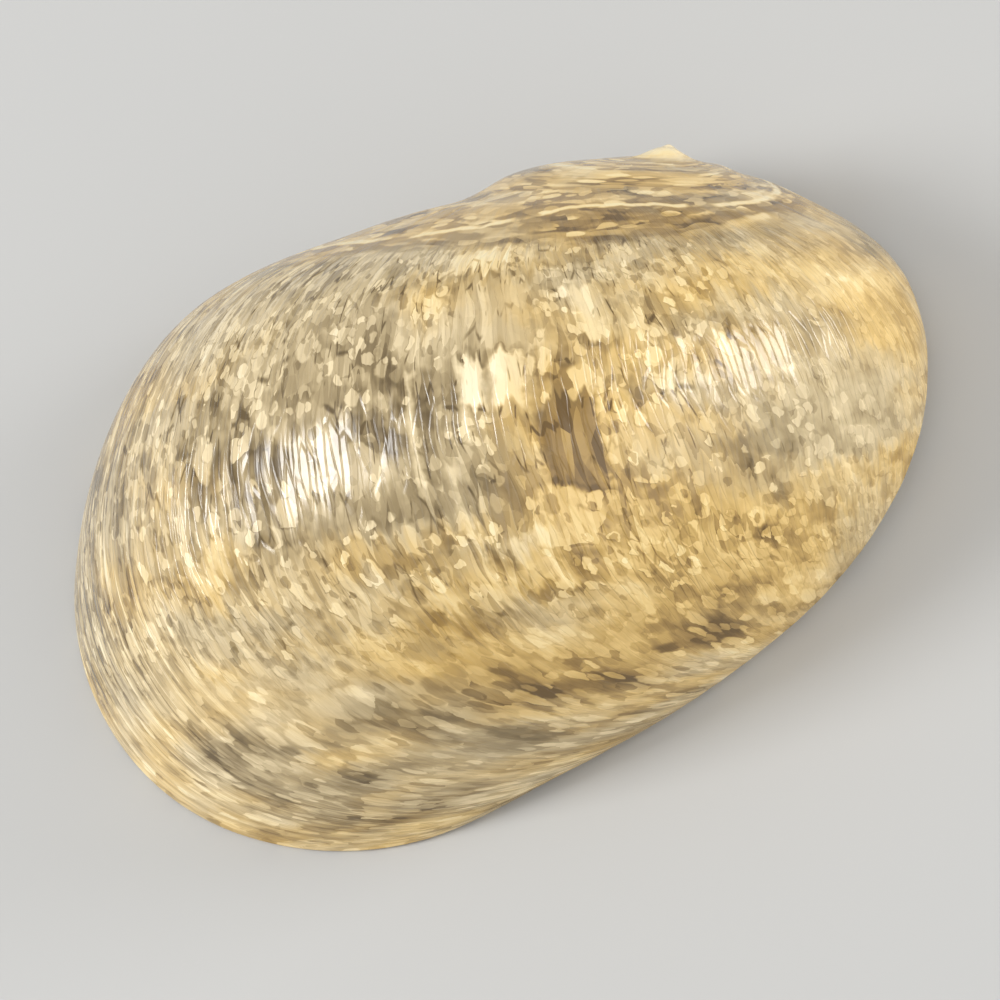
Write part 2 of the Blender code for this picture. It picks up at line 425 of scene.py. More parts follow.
# Suture: the line where each whorl laps onto the one before it, which polishing has all but levelled
SUTURE_JUMP = 1.0
SUTURE_REACH = 0.5 * MM
LEVELLED_REACH = 0.9 * MM
TIP_REACH = 1.4 * MM
LEVELLING_ROUNDS = 16
ROOF_LEVELLING = 0.5
SMOOTHED_POINTS = 31
jumps = np.abs(np.diff(dome_coil[..., 2], axis=0)) > SUTURE_JUMP
meeting = (0.5 * (dome[:-1] + dome[1:]))[jumps]
meeting = meeting[np.argsort(np.minimum(dome_coil[:-1], dome_coil[1:])[jumps][:, 2])]
window = np.ones(SMOOTHED_POINTS) / SMOOTHED_POINTS
suture_points = np.stack([np.convolve(meeting[:, k], window, "valid") for k in range(3)], 1)
finder = KDTree(len(suture_points))
for index, point in enumerate(suture_points):
    finder.insert(point, index)
finder.balance()
from_suture = np.array([[finder.find(point)[2] for point in row] for row in dome])
# how near the suture each point lies, which the material darkens as painted shade in the levelled groove
suture_shade_share = np.exp(-((from_suture / SUTURE_REACH) ** 2))
from_tip = np.linalg.norm(dome - tip, axis=2)
levelled = np.maximum(np.exp(-((from_suture / LEVELLED_REACH) ** 2)), np.exp(-((from_tip / TIP_REACH) ** 2)))
levelled = levelled[:-1, :, None]
for _ in range(LEVELLING_ROUNDS):
    level(dome, tip, levelled)
    tip = dome[0].mean(axis=0)
    level(roof, roof_tip, ROOF_LEVELLING)

# The first whorl is a small smooth knob on the tip, with closer rings
KNOB_ROWS = 5
KNOB_RINGS = 14
KNOB_HEIGHT = 0.34 * MM
KNOB_SPREAD = 0.66 * MM
KNOB_BLUNTNESS = 2.6
KNOB_COLOUR_SPREAD = 1.1 * MM
knob_places = np.linspace(0, KNOB_ROWS, KNOB_RINGS + 1)[1:]
knob_rows = np.concatenate([np.broadcast_to(tip, (1, COLUMNS, 3)), dome[:KNOB_ROWS]])
below_place = np.minimum(knob_places.astype(int), KNOB_ROWS - 1)
knob_part = (knob_places - below_place)[:, None, None]
knob_rings = knob_rows[below_place] * (1 - knob_part) + knob_rows[below_place + 1] * knob_part
nearest_row = np.maximum(np.round(knob_places).astype(int) - 1, 0)
dome = np.concatenate([knob_rings, dome[KNOB_ROWS:]])
dome_coil = np.concatenate([dome_coil[nearest_row], dome_coil[KNOB_ROWS:]])
suture_shade_share = np.concatenate([suture_shade_share[nearest_row], suture_shade_share[KNOB_ROWS:]])
from_tip = np.linalg.norm(dome - tip, axis=2)
knob_colour = np.exp(-((from_tip / KNOB_COLOUR_SPREAD) ** 2))
dome += (KNOB_HEIGHT * np.exp(-((from_tip / KNOB_SPREAD) ** KNOB_BLUNTNESS)))[..., None] * SPIRE_OUTWARD
tip = tip + KNOB_HEIGHT * SPIRE_OUTWARD


def smooth_step(values, low, high):
    """0 up to the low value, 1 from the high one, and a smooth climb between them."""
    part = np.clip((values - low) / (high - low), 0.0, 1.0)
    return part * part * (3 - 2 * part)


# Rounding where the sides meet the base: slight at the lip, fuller under the back of the last whorl
BASE_ROUNDING = 0.9 * MM
LIP_ROUNDING_SHARE = 0.3
ROUNDING_CHANGE_X = 6.0 * MM
TRIMMED_ROWS = 20
FILLET_ROWS = 8

corner_line = dome[-1].copy()
rounding = BASE_ROUNDING * (
    LIP_ROUNDING_SHARE + (1 - LIP_ROUNDING_SHARE) * np.clip(corner_line[:, 0] / ROUNDING_CHANGE_X, 0, 1)
)
for column in range(COLUMNS):
    side = dome[-TRIMMED_ROWS - 1:, column]
    side_coil = dome_coil[-TRIMMED_ROWS - 1:, column]
    along = np.concatenate([[0.0], np.cumsum(np.linalg.norm(np.diff(side, axis=0), axis=1))])
    wanted = np.linspace(0.0, along[-1] - rounding[column], TRIMMED_ROWS + 1)
    dome[-TRIMMED_ROWS - 1:, column] = np.stack([np.interp(wanted, along, side[:, k]) for k in range(3)], 1)
    dome_coil[-TRIMMED_ROWS - 1:, column] = np.stack(
        [np.interp(wanted, along, side_coil[:, k]) for k in range(3)], 1
    )

# Mouth: inside the lip's curve on the left, and cut off by the bowed, toothed edge of the septum
MOUTH_CENTRE = np.array([-5.5, -0.5]) * MM
LIP_SAMPLES = 720
LIP_EDGE_WIDTH = 1.2 * MM
LIP_WIDTH = 2.3 * MM
SEPTUM_EDGE_X = 1.4 * MM
SEPTUM_EDGE_BOW = 0.9 * MM
SEPTUM_EDGE_TOP_Y = 7.4 * MM
SEPTUM_EDGE_LOW_Y = -8.6 * MM
CORNER_ROUNDING = 0.35 * MM
TEETH = [(2.6 * MM, 0.85 * MM), (0.5 * MM, 0.75 * MM), (-1.4 * MM, 0.65 * MM), (-3.0 * MM, 0.55 * MM)]
TOOTH_REACH = 0.8 * MM
TOOTH_TAPER = 0.62
TOOTH_BLUNTNESS = 1.3


def septum_edge(y):
    """Place along X of the septum's edge, with its teeth."""
    along = (y - SEPTUM_EDGE_LOW_Y) / (SEPTUM_EDGE_TOP_Y - SEPTUM_EDGE_LOW_Y)
    edge = SEPTUM_EDGE_X - SEPTUM_EDGE_BOW * (1 - (2 * along - 1) ** 2)
    for place_y, half_width in TEETH:
        from_tooth = ((y - place_y) / (TOOTH_TAPER * half_width)) ** 2
        edge = edge - TOOTH_REACH * np.exp(-(from_tooth ** TOOTH_BLUNTNESS))
    return edge


# Reach of the mouth's outline from its middle in each column's heading: to the lip, or to a nearer septum
NO_EDGE_REACH = 60 * MM
FIRST_REACH = 7.0 * MM
LEAST_TURN = 0.05
CROSSING_ROUNDS = 12
headings = np.arctan2(corner_line[:, 1] - MOUTH_CENTRE[1], corner_line[:, 0] - MOUTH_CENTRE[0])
turn_x, turn_y = np.cos(headings), np.sin(headings)
lip_angles = [math.tau * step / LIP_SAMPLES for step in range(LIP_SAMPLES)]
lip_offset = np.array([lip_point(angle, LIP_EDGE_WIDTH)[:2] for angle in lip_angles]) - MOUTH_CENTRE
lip_headings = np.arctan2(lip_offset[:, 1], lip_offset[:, 0])
order = np.argsort(lip_headings)
lip_reach = np.interp(
    headings, lip_headings[order], np.hypot(lip_offset[:, 0], lip_offset[:, 1])[order], period=math.tau
)
edge_reach = np.full(COLUMNS, NO_EDGE_REACH)
faces_septum = turn_x > LEAST_TURN
reach = np.full(COLUMNS, FIRST_REACH)
for _ in range(CROSSING_ROUNDS):
    edge_x = septum_edge(MOUTH_CENTRE[1] + reach * turn_y)
    crossing = (edge_x - MOUTH_CENTRE[0]) / np.maximum(turn_x, LEAST_TURN)
    edge_reach = np.where(faces_septum, crossing, edge_reach)
    reach = np.minimum(0.5 * (reach + edge_reach), lip_reach)
sharp = 1 / CORNER_ROUNDING
mouth_reach = -np.log(np.exp(-sharp * lip_reach) + np.exp(-sharp * edge_reach)) / sharp
at_septum = np.exp(-sharp * (edge_reach - mouth_reach))
toward = -np.stack([turn_x, turn_y, np.zeros(COLUMNS)], 1)
mouth_line = np.zeros((COLUMNS, 3))
mouth_line[:, :2] = MOUTH_CENTRE + mouth_reach[:, None] * np.stack([turn_x, turn_y], 1)

# Base: from the rounded rim over the callus, a smooth pad on the floor, to the mouth
CALLUS_CENTRE = np.array([1.8, -0.4]) * MM
CALLUS_SIZE = np.array([8.8, 12.8]) * MM
BASE_ROWS = 28
LEAST_CLIMB = 0.05
CLIMB_EASE = 1.3
DECK_HOLLOW = 0.22 * MM
DECK_START = 0.85
DECK_FULL = 0.25
FOLD_LENGTH = 2.6 * MM
FOLD_TAPER = 0.75
FOLD_SHARE = 0.9
FIRST_BASE_STEP = 0.12
inward = mouth_line - corner_line
base_width = np.linalg.norm(inward, axis=1)
base_start = corner_line + inward * (rounding / base_width)[:, None]


def callus_place(points):
    """Distance from the callus's middle, where 1 is its edge."""
    return np.linalg.norm((points[..., :2] - CALLUS_CENTRE) / CALLUS_SIZE, axis=-1)


def tooth_folds(points):
    """1 on the low folds that run on from the septum's teeth, and 0 between them."""
    behind = points[:, 0] - septum_edge(points[:, 1])
    height = sum(np.exp(-((points[:, 1] - y) / (FOLD_TAPER * half)) ** 2) for y, half in TEETH)
    return np.clip(height, 0, 1) * (1 - smooth_step(behind, 0.0, FOLD_LENGTH))


rim_place = callus_place(corner_line)


def base_height(points):
    """Height of the base over the floor at these points of each column."""
    climb = (callus_place(points) - 1.0) / np.maximum(rim_place - 1.0, LEAST_CLIMB)
    ease = np.where(climb > 0, np.clip(climb, 0, 1) ** CLIMB_EASE, 0.0)
    deck = smooth_step(-callus_place(points), -DECK_START, -DECK_FULL) * at_septum
    return corner_line[:, 2] * ease + DECK_HOLLOW * deck * (1 - FOLD_SHARE * tooth_folds(points))


base_start[:, 2] = base_height(base_start)
fillet = []
for step in range(1, FILLET_ROWS + 1):
    part = step / FILLET_ROWS
    fillet.append((1 - part) ** 2 * dome[-1] + 2 * part * (1 - part) * corner_line + part**2 * base_start)
base = []
first_part = 0.5 - 0.5 * math.cos(math.pi * FIRST_BASE_STEP)
for step in range(1, BASE_ROWS + 1):
    angle = math.pi * (FIRST_BASE_STEP + (1 - FIRST_BASE_STEP) * step / BASE_ROWS)
    part = (0.5 - 0.5 * math.cos(angle) - first_part) / (1 - first_part)
    row = base_start + (mouth_line - base_start) * part
    row[:, 2] = base_height(row)
    base.append(row)

# Edge of the mouth: the septum's is rounded, and the lip's is bevelled inwards, with fine low teeth
EDGE_ROWS = 10
SHELF_ROWS = 10
EDGE_BULGE = 0.35 * MM
LIP_TEETH = 46
LIP_TOOTH_HEIGHT = 0.13 * MM
LIP_TOOTH_STRETCH = 1.1
BEVEL_EASE = 0.9
EDGE_SHARE = 0.8
DIRECT_NEAR = 1.3 * MM
DIRECT_FAR = 2.6 * MM
WALL_EASE_ACROSS = 0.85
WALL_EASE_UP = 1.2
edge = []
lip_teeth = 0.5 + 0.5 * np.cos(headings * LIP_TEETH)
bevelled = mouth_line + toward * (1 - at_septum)[:, None] * (LIP_WIDTH - LIP_EDGE_WIDTH)
to_roof = np.linalg.norm((roof[-1] - bevelled)[:, :2], axis=1)
direct = ((1 - at_septum) * (1 - smooth_step(to_roof, DIRECT_NEAR, DIRECT_FAR)))[:, None]
for step in range(1, EDGE_ROWS + 1):
    part = step / EDGE_ROWS
    bulge = EDGE_BULGE * math.sin(math.pi * part)
    bevel = (LIP_WIDTH - LIP_EDGE_WIDTH) * part**BEVEL_EASE
    tooth = LIP_TOOTH_HEIGHT * lip_teeth * math.sin(math.pi * min(1.0, part * LIP_TOOTH_STRETCH)) ** 2
    row = base[-1] + toward * (at_septum * bulge + (1 - at_septum) * (bevel + tooth))[:, None]
    rise = at_septum * 0.5 * (1 - math.cos(math.pi * part)) + (1 - at_septum) * part
    row[:, 2] = base[-1][:, 2] * (1 - part) + SEPTUM * rise
    climb = EDGE_SHARE * part
    climbed = np.array([climb**WALL_EASE_ACROSS, climb**WALL_EASE_ACROSS, climb**WALL_EASE_UP])
    to_wall = base[-1] + (roof[-1] - base[-1]) * climbed
    to_wall += toward * ((1 - at_septum) * tooth)[:, None]
    edge.append(row + direct * (to_wall - row))
shelf = [edge[-1] + (roof[-1] - edge[-1]) * step / SHELF_ROWS for step in range(1, SHELF_ROWS)]

# The rings from the apex over the back, round the rim, over the base and through the mouth to the roof
inner = [*base, *edge, *shelf, *roof[::-1]]
rings = np.concatenate([dome, fillet, inner])
points = np.concatenate([[tip], rings.reshape(-1, 3), [roof_tip]])
ring_count = len(rings)
dome_count = len(dome)
numbers = 1 + np.arange(ring_count * COLUMNS).reshape(ring_count, COLUMNS)


def corners_of(values):
    """Values at the four corners of each face between two rings, anticlockwise from outside."""
    after = np.roll(values, -1, axis=1)
    return np.stack([values[:-1], values[1:], after[1:], after[:-1]], axis=2)


quads = corners_of(numbers).reshape(-1, 4)
cap = np.stack([np.zeros(COLUMNS, int), numbers[0], np.roll(numbers[0], -1)], 1)
vault = np.stack([numbers[-1], np.full(COLUMNS, len(points) - 1), np.roll(numbers[-1], -1)], 1)
shell_mesh = bpy.data.meshes.new("shell_surface")
shell_mesh.from_pydata(points.tolist(), [], quads.tolist() + cap.tolist() + vault.tolist())
shell_mesh.shade_smooth()

# Growth coordinates in millimetres, which run on over the rim and the base as distance from the lip
walked = np.cumsum(np.linalg.norm(np.diff(rings[dome_count - 1:], axis=0), axis=2), axis=0)
carried = np.repeat(dome_coil[-1:], len(walked), axis=0)
carried[..., 0] -= walked
coil = np.concatenate([dome_coil, carried])
coil_corners = corners_of(coil)
turned_corners = coil_corners[..., 2]
newest = turned_corners < turned_corners.min(axis=2, keepdims=True) + SUTURE_JUMP
from_below = np.concatenate([2 * coil[1:-1] - coil[2:], coil[-2:]])
from_above = np.concatenate([coil[:2], 2 * coil[1:-1] - coil[:-2]])
smooth_below = np.abs(from_below[..., 2] - np.concatenate([coil[1:], coil[-1:]])[..., 2]) < SUTURE_JUMP
smooth_above = np.abs(from_above[..., 2] - np.concatenate([coil[:1], coil[:-1]])[..., 2]) < SUTURE_JUMP
carried_on = corners_of(np.where(smooth_below[..., None], from_below, np.roll(coil, -1, axis=0)))
carried_up = corners_of(np.where(smooth_above[..., None], from_above, np.roll(coil, 1, axis=0)))
fixed = coil_corners.copy()
for corner_index, partner, beside, across, source_corners in (
    (0, 1, 3, 2, carried_on), (3, 2, 0, 1, carried_on), (1, 0, 2, 3, carried_up), (2, 3, 1, 0, carried_up)
):
    outside_corner = ~newest[:, :, corner_index]
    choice = np.where(
        newest[:, :, partner, None],
        source_corners[:, :, corner_index],
        np.where(newest[:, :, beside, None], coil_corners[:, :, beside], coil_corners[:, :, across]),
    )
    fixed[:, :, corner_index] = np.where(outside_corner[..., None], choice, coil_corners[:, :, corner_index])
quad_map = fixed[..., :2].reshape(-1, 2)
cap_sides = np.stack([coil[0], np.roll(coil[0], -1, axis=0)], 1)[..., :2]
cap_map = np.concatenate([cap_sides.mean(axis=1, keepdims=True), cap_sides], axis=1).reshape(-1, 2)
vault_sides = np.stack([coil[-1], np.roll(coil[-1], -1, axis=0)], 1)[..., :2]
vault_map = np.stack([vault_sides[:, 0], vault_sides.mean(axis=1), vault_sides[:, 1]], 1).reshape(-1, 2)
growth_map = shell_mesh.uv_layers.new(name="growth")
growth_map.data.foreach_set("uv", (np.concatenate([quad_map, cap_map, vault_map]) / MM).ravel())

# Attributes for the material: the share of porcelain, which is the bare inner layer, the painted shade along
# the suture, and the knob
PORCELAIN_START = 0.5 * MM
PORCELAIN_FULL = 2.2 * MM
porcelain = np.zeros((ring_count, COLUMNS))
porcelain[dome_count:] = smooth_step(walked, PORCELAIN_START, PORCELAIN_FULL)
suture_shade = np.zeros((ring_count, COLUMNS))
suture_shade[:dome_count] = suture_shade_share
knob = np.zeros((ring_count, COLUMNS))
knob[:dome_count] = knob_colour
for name, values, first_value, last_value in (
    ("porcelain", porcelain, 0.0, 1.0), ("suture_shade", suture_shade, 0.0, 0.0), ("knob", knob, 1.0, 0.0)
):
    layer = shell_mesh.attributes.new(name, "FLOAT", "POINT")
    layer.data.foreach_set("value", np.concatenate([[first_value], values.ravel(), [last_value]]))

shell = bpy.data.objects.new("nerite_shell", shell_mesh)
bpy.context.scene.collection.objects.link(shell)


def srgb(red, green, blue):
    """Colour for a socket from its 0 to 255 screen values."""
    shares = (red / 255, green / 255, blue / 255)
    return (*(v / 12.92 if v <= 0.04045 else ((v + 0.055) / 1.055) ** 2.4 for v in shares), 1.0)


# Colours of the outer layer from its darkest to its lightest, in greyish zones and in golden ones
GREYISH = [
    (0.00, srgb(98, 80, 48)), (0.22, srgb(144, 125, 88)), (0.42, srgb(182, 162, 122)),
    (0.60, srgb(211, 191, 150)), (0.80, srgb(239, 219, 176)), (1.00, srgb(255, 241, 205)),
]
GOLDEN = [
    (0.00, srgb(104, 78, 33)), (0.22, srgb(157, 125, 67)), (0.42, srgb(201, 166, 96)),
    (0.60, srgb(230, 196, 126)), (0.80, srgb(249, 221, 156)), (1.00, srgb(255, 242, 191)),
]
PORCELAIN = srgb(240, 233, 216)
TINTED_PORCELAIN = srgb(239, 222, 184)

polish = bpy.data.materials.new("polished_shell")
polish.use_nodes = True
shell_mesh.materials.append(polish)
surface = polish.node_tree.nodes["Principled BSDF"]
paint = Wire(polish.node_tree)
on_map = paint.node("ShaderNodeUVMap", {"uv_map": "growth"})
spot = on_map.node("ShaderNodeSeparateXYZ", None, {"Vector": on_map})
plain_a, plain_b = spot.out("X"), spot.out("Y")


def clouds(a, b, length_a, length_b, seed, detail=1.0, roughness=0.5):
    """Soft noise between about 0.2 and 0.8 with features this long, in mm, across and along the lip."""
    return paint.node(
        "ShaderNodeTexNoise",
        {"noise_dimensions": "3D"},
        {"Vector": xyz(paint, a / length_a, b / length_b, seed), "Scale": 1.0, "Detail": detail,
         "Roughness": roughness},
    )


def drift(a, b, length_a, length_b, seed, detail=1.0):
    """The same noise, but about 0."""
    return clouds(a, b, length_a, length_b, seed, detail) - 0.5


def cells(a, b, length_a, length_b, seed, feature="F1", metric="EUCLIDEAN", randomness=1.0):
    """Voronoi cells of this size in mm: the wire is the distance from the middle or from the edge."""
    settings = {"voronoi_dimensions": "2D", "feature": feature}
    if feature == "F1":
        settings["distance"] = metric
    return paint.node(
        "ShaderNodeTexVoronoi",
        settings,
        {"Vector": xyz(paint, a / length_a + seed, b / length_b - seed, 0.0), "Scale": 1.0,
         "Randomness": randomness},
        "Distance",
    )


def draws(cell_wire):
    """Three random numbers that are the same all over a cell."""
    parts = paint.node("ShaderNodeSeparateXYZ", None, {"Vector": cell_wire.out("Color")})
    return parts.out("X"), parts.out("Y"), parts.out("Z")


def over(under, share, value):
    return under + share * (value - under)


def dabs(a, b, length_a, length_b, seed, coverage, largest=0.62, softness=0.07):
    """Mask of rounded dabs, of which this share of the cells has one, and a random number for each."""
    cell = cells(a, b, length_a, length_b, seed)
    first, second, third = draws(cell)
    radius = largest * (0.45 + 0.55 * second)
    present = paint.math("GREATER_THAN", coverage, first)
    return cell.fade(radius + softness, radius - softness) * present, third


# Every mark is bent a little, as the snail's mantle moved while it laid them down
BEND_A = 0.55
BEND_B = 0.9
SHAKE_A = 0.30
SHAKE_B = 0.50
bend_a = drift(plain_a, plain_b, 2.4, 4.0, 3.1, 2.0)
bend_b = drift(plain_a, plain_b, 2.6, 3.4, 8.7, 2.0)
shake_a = drift(plain_a, plain_b, 0.30, 0.55, 5.5, 2.0)
shake_b = drift(plain_a, plain_b, 0.35, 0.6, 9.9, 2.0)
line_a = plain_a + BEND_A * bend_a
line_b = plain_b + BEND_B * bend_b
map_a = line_a + SHAKE_A * shake_a
map_b = line_b + SHAKE_B * shake_b


def square(wire):
    return wire * wire


def swell(a, b, middle_a, middle_b, length_a, length_b):
    """Soft round zone: 1 at its middle, in mm of growth coordinates, and fading with distance."""
    return paint.math("EXPONENT", 0 - square((a - middle_a) / length_a) - square((b - middle_b) / length_b))


def patch(a, b, middle_a, middle_b, half_a, half_b, softness=0.16):
    """Mask of an upright block, in mm of growth coordinates, with slightly soft sides."""
    side = paint.math("ABSOLUTE", a - middle_a).fade(half_a + softness, half_a - softness)
    return side * paint.math("ABSOLUTE", b - middle_b).fade(half_b + softness, half_b - softness)


def attribute(name):
    return paint.node("ShaderNodeAttribute", {"attribute_name": name}, None, "Fac")


def mixed(wire, share, first_colour, second_colour):
    """The first colour where the share is 0, and the second where it is 1."""
    sockets = {0: share, 6: first_colour, 7: second_colour}
    return wire.node("ShaderNodeMix", {"data_type": "RGBA"}, sockets, 2)


# Wide zones of the shell's growth, lighter or darker, and greyer or more golden, with combed edges. A few
# also stand in for light and shade: a darker zone under the left gloss patch, a darker one along the bottom
# rim, and a lighter one over the dim top right, which is partly the shell's own colour.
# Each is listed with its middle and half size on the growth map in mm, and how it shifts tone and hue.
COMB_REACH = 2.4
ZONE_LIGHT = 0.9
ZONE_HUE = 1.6
calm = plain_a.fade(35.0, 42.0, 1.0, 0.35) * plain_b.fade(4.0, 9.0, 1.0, 0.4)
comb_b = map_b + COMB_REACH * calm * drift(line_a, line_b, 0.24, 5.0, 13.3)
zone = drift(map_a, comb_b, 3.6, 2.0, 1.3, 2.0)
hue = 0.5 + ZONE_HUE * drift(map_a, comb_b, 4.0, 2.6, 4.4, 2.0)
light = ZONE_LIGHT * zone
for middle_a, middle_b, length_a, length_b, lighter, warmer in (
    (23.5, -4.5, 4.5, 4.0, -0.05, -0.75),
    (19.0, -7.5, 2.4, 2.0, 0.26, -0.20),
    (25.8, -7.4, 1.0, 1.6, 0.26, 0.30),
    (28.0, -10.4, 1.6, 0.9, 0.42, 0.10),
    (16.5, -4.0, 2.0, 2.0, 0.14, 0.00),
    (21.3, -1.9, 1.2, 1.2, -0.32, -0.20),
    (25.4, -3.4, 1.5, 1.2, -0.34, 0.00),
    (27.8, -5.2, 0.9, 0.9, -0.22, 0.00),
    # painted shade: darker under the left gloss patch, which tones down its highlight
    (23.5, -0.7, 1.0, 0.9, -0.22, 0.00),
    (32.2, -5.7, 0.9, 1.0, 0.20, 0.00),
    (30.3, 1.7, 0.5, 0.8, 0.26, 0.00),
    (29.2, 1.2, 0.5, 0.8, -0.26, 0.00),
    (20.6, -3.9, 0.9, 0.9, 0.20, 0.00),
    (23.0, -9.4, 4.0, 1.6, 0.03, -0.40),
    (12.0, 3.0, 2.5, 4.0, 0.00, -0.30),
    (22.0, -4.6, 0.8, 0.9, -0.12, 0.00),
    (19.0, -6.0, 1.2, 1.4, 0.16, 0.00),
    (24.9, 5.1, 1.4, 1.1, 0.24, 0.00),
    (33.6, 3.4, 1.1, 0.9, 0.10, 0.00),
    (31.8, 1.9, 0.9, 1.2, -0.16, 0.00),
    (36.2, 8.0, 1.6, 1.6, -0.20, 0.00),
    (37.2, 2.0, 1.6, 1.4, 0.18, 0.00),
    (26.7, 11.2, 1.3, 1.0, -0.22, 0.00),
    (19.9, 9.8, 1.3, 0.9, -0.20, 0.00),
    (29.3, -12.2, 1.6, 0.9, 0.16, 0.00),
    (40.0, -12.4, 1.6, 1.0, -0.16, 0.00),
    (34.0, -11.5, 3.2, 1.0, -0.28, 0.00),
    (22.8, 9.0, 1.2, 0.8, -0.18, 0.00),
    (30.2, 9.6, 1.0, 0.8, -0.20, 0.00),
    (29.8, -1.6, 2.2, 2.6, 0.00, 0.60),
    (24.6, -1.2, 1.2, 1.2, -0.20, 0.00),
    (25.0, 1.0, 2.6, 1.0, -0.20, -0.45),
    (29.5, 1.2, 1.6, 1.2, -0.36, 0.50),
    (35.2, -0.6, 1.5, 1.0, 0.10, 0.10),
    (33.2, 0.9, 1.0, 0.8, -0.14, 0.00),
    (39.8, -4.4, 2.6, 2.2, 0.12, 0.50),
    (20.3, 5.2, 2.2, 1.5, 0.18, -0.40),
    (14.0, 9.5, 1.6, 1.4, -0.16, 0.00),
    (21.5, 16.0, 1.5, 1.5, -0.16, 0.00),
    # partly the shell's own colour and partly painted light: lighter over the top right side, which the lamps
    # leave dim
    (37.5, -6.5, 4.0, 2.6, 0.22, 0.00),
    (32.0, -12.0, 3.5, 1.1, -0.34, 0.30),
    (39.5, -11.0, 3.0, 1.2, -0.24, 0.00),
    (31.0, 4.5, 3.5, 4.0, 0.04, 0.60),
    (36.0, -1.0, 3.5, 3.0, 0.00, -0.70),
    (25.2, 6.5, 1.4, 3.2, -0.18, 0.20),
    (24.2, 10.2, 2.4, 1.8, -0.22, 0.20),
    (26.5, 9.5, 4.5, 1.8, -0.06, 0.40),
    (14.0, 2.4, 2.0, 1.0, -0.16, 0.00),
    (14.5, 12.0, 2.0, 2.0, 0.00, -0.50),
    (32.5, 8.4, 2.0, 1.2, -0.16, 0.00),
    (16.5, 10.2, 3.0, 1.0, -0.12, 0.00),
    # painted shade: darker along the bottom rim, where the shell turns under
    (15.0, 16.5, 4.0, 1.4, -0.30, -0.20),
    (17.0, 6.0, 3.0, 2.6, 0.10, -0.10),
):
    here = swell(map_a, comb_b, middle_a, middle_b, length_a, length_b)
    light = light + lighter * here
    hue = hue + warmer * here

# Tone from dark to light: the zones, a finer mottling, and patches drawn out towards the base
MIDDLE_TONE = 0.44
MOTTLE = 1.2
LEAST_MOTTLE = 0.3
DRAWN_OUT = 1.4
fine_share = plain_b.fade(4.5, 9.0, 1.0, 0.45) * plain_a.fade(30.0, 40.0, 1.0, 0.5)
mottle = clouds(map_a, map_b, 0.9, 1.6, 7.7, 2.0, 0.6) - 0.5
tone = MIDDLE_TONE + light + MOTTLE * mottle * (LEAST_MOTTLE + (1 - LEAST_MOTTLE) * fine_share)
tone = tone + DRAWN_OUT * drift(map_a, comb_b, 1.3, 3.6, 19.0, 2.0) * plain_b.fade(5.5, 9.0)

# Flat blocks, where a stretch of the lip kept one colour for a while
BLOCK_SHARE = 0.20
BLOCK_COVER = 0.6
block = cells(map_a, comb_b, 1.7, 2.4, 2.2, metric="CHEBYCHEV", randomness=0.8)
block_kind, block_tone, _ = draws(block)
flat = paint.math("GREATER_THAN", block_kind, 1 - BLOCK_SHARE)
tone = over(tone, BLOCK_COVER * flat, 0.25 + 0.5 * block_tone)

# Dabs in many tones over one another, some with a thin painted shadow on one side: a dark crescent, as if the
# dab stood up from the surface
DAB_SHADOW_COVER = 0.55
DAB_SHADOW_TONE = 0.20
DAB_COVER = 0.80
DARK_DAB_COVER = 0.60
cover = (light + 0.5).fade(0.28, 0.72, 0.15, 0.9)
for length_a, length_b, seed, share, low, high in (
    (1.80, 2.70, 41.0, 0.50, 0.25, 0.75),
    (1.00, 2.20, 0.0, 0.55, 0.38, 0.80),
    (0.62, 1.35, 5.0, 0.60, 0.30, 0.88),
    (0.40, 0.85, 11.0, 0.75, 0.36, 0.92),
    (0.28, 0.55, 17.0, 0.60, 0.40, 0.95),
):
    shadow_a = map_a + 0.10 * length_a
    shadow_b = map_b - 0.05 * length_b
    # painted shadow: the same dabs shifted a little, whose edge shows as a dark crescent on one side
    rim, shadow_draw = dabs(shadow_a, shadow_b, length_a, length_b, seed, cover * share)
    dab, dab_draw = dabs(map_a, map_b, length_a, length_b, seed, cover * share)
    tone = over(tone, DAB_SHADOW_COVER * rim * shadow_draw.fade(0.3, 0.7) * fine_share, DAB_SHADOW_TONE)
    tone = over(tone, DAB_COVER * dab * fine_share, low + (high - low) * dab_draw)
for length_a, length_b, seed, share in ((0.42, 0.9, 23.0, 0.16), (0.22, 0.5, 29.0, 0.14)):
    dark_dab, dark_draw = dabs(map_a, map_b, length_a, length_b, seed, share)
    tone = over(tone, DARK_DAB_COVER * dark_dab * fine_share, 0.10 + 0.28 * dark_draw)

# Towards the base the marks are drawn out along the growth lines
LONG_DAB_COVER = 0.6
ZONE_SHARE = 0.8
for length_a, length_b, seed, share, low, high in (
    (1.20, 2.90, 47.0, 0.60, 0.20, 0.75),
    (0.66, 1.60, 53.0, 0.60, 0.25, 0.92),
    (0.38, 0.85, 59.0, 0.50, 0.18, 0.95),
):
    long_dab, long_draw = dabs(map_a, map_b, length_a, length_b, seed, share)
    long_tone = low + (high - low) * long_draw + ZONE_SHARE * light
    tone = over(tone, LONG_DAB_COVER * long_dab * plain_b.fade(5.0, 9.0), long_tone)
